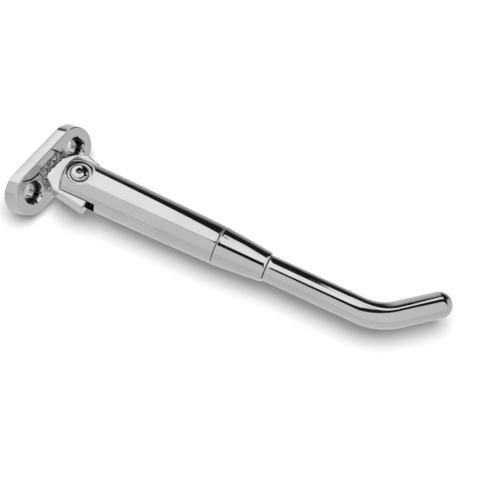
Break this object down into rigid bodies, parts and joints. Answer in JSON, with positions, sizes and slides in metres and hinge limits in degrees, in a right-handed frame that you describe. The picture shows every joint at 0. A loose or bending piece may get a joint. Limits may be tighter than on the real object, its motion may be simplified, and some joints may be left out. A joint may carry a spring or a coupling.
{
  "type": "motorcycle kickstand",
  "caption": "Chromed kickstand: a leaning bolt-on flange with a welded lug, a forked swinging leg with a hidden spring, and a bent lower rod screwed in and locked by a conical collar.",
  "frame": {"origin": "centre of the mounting flange's back face, which bolts to the motorcycle's frame", "axes": "+X is the way the lug and leg reach out, +Y runs along the flange from bolt hole to bolt hole, +Z is the hinge axis, towards the pivot screw's head"},
  "size_m": [0.304, 0.1334, 0.036],
  "materials": {
    "chrome": "polished chrome plate",
    "chromed_weld": "chrome plate over an unground weld bead",
    "zinc_steel": "zinc plated",
    "hardened_steel": "ground",
    "spring_steel": "oiled wire",
    "bronze": "turned bearing bronze"
  },
  "bodies": {
    "mount": {"mounting_flange": "chrome", "pivot_lug": "chrome", "weld_run_upper": "chromed_weld", "weld_run_lower": "chromed_weld", "pivot_bush": "bronze"},
    "leg": {"leg_housing": "chrome", "pivot_screw": "chrome", "screw_washer": "zinc_steel", "nut_washer": "zinc_steel", "pivot_locknut": "zinc_steel", "thrust_washer_upper": "bronze", "thrust_washer_lower": "bronze", "plunger_guide": "bronze", "plunger_spring": "spring_steel", "spring_seat_washer": "zinc_steel", "preload_plug": "zinc_steel"},
    "plunger": {"cam_plunger": "hardened_steel"},
    "collar": {"lock_collar": "chrome"},
    "lower_leg": {"lower_rod": "chrome"}
  },
  "joints": [
    {"name": "leg_swing", "type": "hinge", "parent": "mount", "child": "leg", "pos_m": [0.02911, 0.0036, 0.00642], "axis": [0, 0, 1], "range_deg": [-18, 75]},
    {"name": "plunger_slide", "type": "slide", "parent": "leg", "child": "plunger", "axis": [0.9833, 0.1822, 0], "range_m": [0, 0.003], "stiffness_N_per_m": 12000, "springref_m": -0.008, "deforming": ["plunger_spring"]},
    {"name": "length_adjust", "type": "slide", "parent": "leg", "child": "lower_leg", "axis": [0.9833, 0.1822, 0], "range_m": [0, 0.018]},
    {"name": "collar_turn", "type": "hinge", "parent": "leg", "child": "collar", "pos_m": [0.15595, 0.02711, 0.00642], "axis": [0.9833, 0.1822, 0], "continuous": true}
  ]
}
